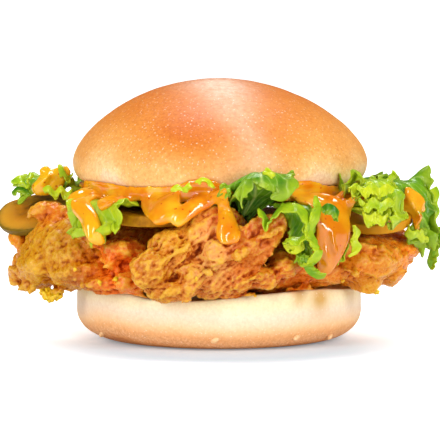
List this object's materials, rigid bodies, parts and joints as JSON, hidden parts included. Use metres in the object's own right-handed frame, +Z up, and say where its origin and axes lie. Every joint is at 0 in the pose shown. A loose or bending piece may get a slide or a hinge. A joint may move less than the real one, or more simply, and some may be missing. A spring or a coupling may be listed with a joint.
{
  "type": "chicken burger",
  "caption": "Round bun cut in two round a fried chicken fillet, with gherkin slices, frilled lettuce leaves and a runny orange sauce.",
  "frame": {"origin": "centre of the flat foot of the lower half of the bun", "axes": "+Z up through the stack, -Y towards the front where the sauce runs down, +X to the right seen from the front"},
  "size_m": [0.155, 0.1332, 0.0899],
  "materials": {
    "crown_crust": "baked, a little glossy",
    "heel_crust": "baked, soft and matte",
    "fried_batter": "fried, rough and a little oily",
    "pickled_gherkin": "wet",
    "lettuce": "fresh and waxy",
    "dressing": "smooth and glossy"
  },
  "bodies": {
    "root": {"bun_crown": "crown_crust", "bun_heel": "heel_crust", "chicken_fillet": "fried_batter", "pickle_left": "pickled_gherkin", "pickle_front": "pickled_gherkin", "pickle_right": "pickled_gherkin", "pickle_back_left": "pickled_gherkin", "pickle_back_right": "pickled_gherkin", "leaf_left": "lettuce", "leaf_far_left": "lettuce", "leaf_front": "lettuce", "leaf_curl": "lettuce", "leaf_under_sauce": "lettuce", "leaf_right": "lettuce", "leaf_far_right": "lettuce", "leaf_right_back": "lettuce", "leaf_back_right": "lettuce", "leaf_back": "lettuce", "leaf_back_left": "lettuce", "sauce": "dressing", "sauce_far_right": "dressing", "sauce_far_left": "dressing"}
  },
  "joints": []
}
